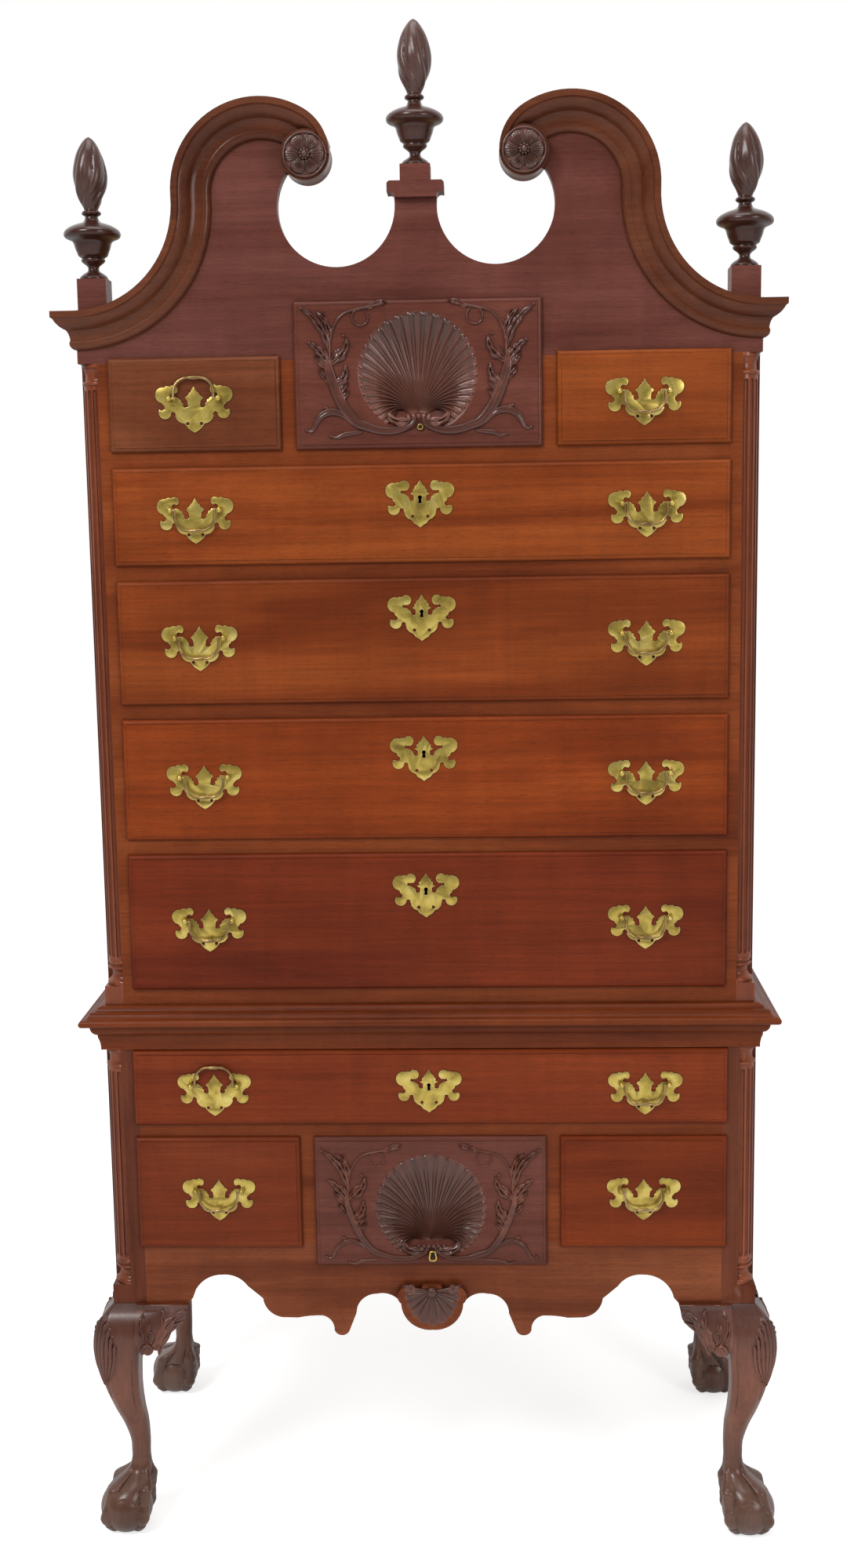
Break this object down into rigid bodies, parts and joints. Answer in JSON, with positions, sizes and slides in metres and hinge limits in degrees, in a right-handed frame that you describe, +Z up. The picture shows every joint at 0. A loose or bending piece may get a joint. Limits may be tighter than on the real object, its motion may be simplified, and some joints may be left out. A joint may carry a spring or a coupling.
{
  "type": "highboy chest of drawers",
  "caption": "Tall chest of drawers on a cabriole-legged stand, with lipped drawers, drop-bail brass pulls, fluted quarter columns and a scroll pediment.",
  "frame": {"origin": "on the floor, midway between the four feet", "axes": "+Z up, front towards -Y, +X to the right as seen from the front"},
  "size_m": [1.045, 0.532, 2.229],
  "materials": {
    "case_wood": "waxed mahogany",
    "drawer_wood": "waxed mahogany, warmer",
    "pediment_wood": "waxed mahogany, darker",
    "carved_wood": "waxed carved mahogany",
    "inner_wood": "bare poplar and pine",
    "brass": "old lacquered brass"
  },
  "bodies": {
    "case": {"case_sides": "case_wood", "case_backs": "inner_wood", "upper_boards": "inner_wood", "upper_frame": "case_wood", "stand_frame": "case_wood", "drawer_runners": "inner_wood", "quarter_columns": "case_wood", "waist_moulding": "case_wood", "crown_moulding": "pediment_wood", "scroll_board": "pediment_wood", "rosettes": "carved_wood", "finial_plinths": "pediment_wood", "finials": "carved_wood", "apron": "case_wood", "legs": "case_wood"},
    "upper_long_4": {"upper_long_4_front": "drawer_wood", "upper_long_4_box": "inner_wood", "upper_long_4_brass": "brass"},
    "upper_long_4_bail_left": {"upper_long_4_bail_left": "brass"},
    "upper_long_4_bail_right": {"upper_long_4_bail_right": "brass"},
    "upper_long_3": {"upper_long_3_front": "drawer_wood", "upper_long_3_box": "inner_wood", "upper_long_3_brass": "brass"},
    "upper_long_3_bail_left": {"upper_long_3_bail_left": "brass"},
    "upper_long_3_bail_right": {"upper_long_3_bail_right": "brass"},
    "upper_long_2": {"upper_long_2_front": "drawer_wood", "upper_long_2_box": "inner_wood", "upper_long_2_brass": "brass"},
    "upper_long_2_bail_left": {"upper_long_2_bail_left": "brass"},
    "upper_long_2_bail_right": {"upper_long_2_bail_right": "brass"},
    "upper_long_1": {"upper_long_1_front": "drawer_wood", "upper_long_1_box": "inner_wood", "upper_long_1_brass": "brass"},
    "upper_long_1_bail_left": {"upper_long_1_bail_left": "brass"},
    "upper_long_1_bail_right": {"upper_long_1_bail_right": "brass"},
    "upper_small_left": {"upper_small_left_front": "drawer_wood", "upper_small_left_box": "inner_wood", "upper_small_left_brass": "brass"},
    "upper_small_left_bail": {"upper_small_left_bail": "brass"},
    "upper_shell": {"upper_shell_front": "drawer_wood", "upper_shell_box": "inner_wood"},
    "upper_small_right": {"upper_small_right_front": "drawer_wood", "upper_small_right_box": "inner_wood", "upper_small_right_brass": "brass"},
    "upper_small_right_bail": {"upper_small_right_bail": "brass"},
    "lower_small_left": {"lower_small_left_front": "drawer_wood", "lower_small_left_box": "inner_wood", "lower_small_left_brass": "brass"},
    "lower_small_left_bail": {"lower_small_left_bail": "brass"},
    "lower_shell": {"lower_shell_front": "drawer_wood", "lower_shell_box": "inner_wood"},
    "lower_small_right": {"lower_small_right_front": "drawer_wood", "lower_small_right_box": "inner_wood", "lower_small_right_brass": "brass"},
    "lower_small_right_bail": {"lower_small_right_bail": "brass"},
    "lower_long": {"lower_long_front": "drawer_wood", "lower_long_box": "inner_wood", "lower_long_brass": "brass"},
    "lower_long_bail_left": {"lower_long_bail_left": "brass"},
    "lower_long_bail_right": {"lower_long_bail_right": "brass"}
  },
  "joints": [
    {"name": "upper_long_4_slide", "type": "slide", "parent": "case", "child": "upper_long_4", "axis": [0, -1, 0], "range_m": [0, 0.34]},
    {"name": "upper_long_4_bail_left_hinge", "type": "hinge", "parent": "upper_long_4", "child": "upper_long_4_bail_left", "pos_m": [-0.32, -0.2415, 0.97075], "axis": [-1, 0, 0], "range_deg": [-8, 188]},
    {"name": "upper_long_4_bail_right_hinge", "type": "hinge", "parent": "upper_long_4", "child": "upper_long_4_bail_right", "pos_m": [0.32, -0.2415, 0.97075], "axis": [-1, 0, 0], "range_deg": [-8, 188]},
    {"name": "upper_long_3_slide", "type": "slide", "parent": "case", "child": "upper_long_3", "axis": [0, -1, 0], "range_m": [0, 0.34]},
    {"name": "upper_long_3_bail_left_hinge", "type": "hinge", "parent": "upper_long_3", "child": "upper_long_3_bail_left", "pos_m": [-0.32, -0.2415, 1.18425], "axis": [-1, 0, 0], "range_deg": [-8, 188]},
    {"name": "upper_long_3_bail_right_hinge", "type": "hinge", "parent": "upper_long_3", "child": "upper_long_3_bail_right", "pos_m": [0.32, -0.2415, 1.18425], "axis": [-1, 0, 0], "range_deg": [-8, 188]},
    {"name": "upper_long_2_slide", "type": "slide", "parent": "case", "child": "upper_long_2", "axis": [0, -1, 0], "range_m": [0, 0.34]},
    {"name": "upper_long_2_bail_left_hinge", "type": "hinge", "parent": "upper_long_2", "child": "upper_long_2_bail_left", "pos_m": [-0.32, -0.2415, 1.386], "axis": [-1, 0, 0], "range_deg": [-8, 188]},
    {"name": "upper_long_2_bail_right_hinge", "type": "hinge", "parent": "upper_long_2", "child": "upper_long_2_bail_right", "pos_m": [0.32, -0.2415, 1.386], "axis": [-1, 0, 0], "range_deg": [-8, 188]},
    {"name": "upper_long_1_slide", "type": "slide", "parent": "case", "child": "upper_long_1", "axis": [0, -1, 0], "range_m": [0, 0.34]},
    {"name": "upper_long_1_bail_left_hinge", "type": "hinge", "parent": "upper_long_1", "child": "upper_long_1_bail_left", "pos_m": [-0.32, -0.2415, 1.568], "axis": [-1, 0, 0], "range_deg": [-8, 188]},
    {"name": "upper_long_1_bail_right_hinge", "type": "hinge", "parent": "upper_long_1", "child": "upper_long_1_bail_right", "pos_m": [0.32, -0.2415, 1.568], "axis": [-1, 0, 0], "range_deg": [-8, 188]},
    {"name": "upper_small_left_slide", "type": "slide", "parent": "case", "child": "upper_small_left", "axis": [0, -1, 0], "range_m": [0, 0.34]},
    {"name": "upper_small_left_bail_hinge", "type": "hinge", "parent": "upper_small_left", "child": "upper_small_left_bail", "pos_m": [-0.31625, -0.2415, 1.72325], "axis": [-1, 0, 0], "range_deg": [-196, 0]},
    {"name": "upper_shell_slide", "type": "slide", "parent": "case", "child": "upper_shell", "axis": [0, -1, 0], "range_m": [0, 0.34]},
    {"name": "upper_small_right_slide", "type": "slide", "parent": "case", "child": "upper_small_right", "axis": [0, -1, 0], "range_m": [0, 0.34]},
    {"name": "upper_small_right_bail_hinge", "type": "hinge", "parent": "upper_small_right", "child": "upper_small_right_bail", "pos_m": [0.31625, -0.2415, 1.72325], "axis": [-1, 0, 0], "range_deg": [-8, 188]},
    {"name": "lower_small_left_slide", "type": "slide", "parent": "case", "child": "lower_small_left", "axis": [0, -1, 0], "range_m": [0, 0.34]},
    {"name": "lower_small_left_bail_hinge", "type": "hinge", "parent": "lower_small_left", "child": "lower_small_left_bail", "pos_m": [-0.31825, -0.2475, 0.556], "axis": [-1, 0, 0], "range_deg": [-8, 188]},
    {"name": "lower_shell_slide", "type": "slide", "parent": "case", "child": "lower_shell", "axis": [0, -1, 0], "range_m": [0, 0.34]},
    {"name": "lower_small_right_slide", "type": "slide", "parent": "case", "child": "lower_small_right", "axis": [0, -1, 0], "range_m": [0, 0.34]},
    {"name": "lower_small_right_bail_hinge", "type": "hinge", "parent": "lower_small_right", "child": "lower_small_right_bail", "pos_m": [0.31825, -0.2475, 0.556], "axis": [-1, 0, 0], "range_deg": [-8, 188]},
    {"name": "lower_long_slide", "type": "slide", "parent": "case", "child": "lower_long", "axis": [0, -1, 0], "range_m": [0, 0.34]},
    {"name": "lower_long_bail_left_hinge", "type": "hinge", "parent": "lower_long", "child": "lower_long_bail_left", "pos_m": [-0.32, -0.2475, 0.72025], "axis": [-1, 0, 0], "range_deg": [-196, 0]},
    {"name": "lower_long_bail_right_hinge", "type": "hinge", "parent": "lower_long", "child": "lower_long_bail_right", "pos_m": [0.32, -0.2475, 0.72025], "axis": [-1, 0, 0], "range_deg": [-8, 188]}
  ]
}
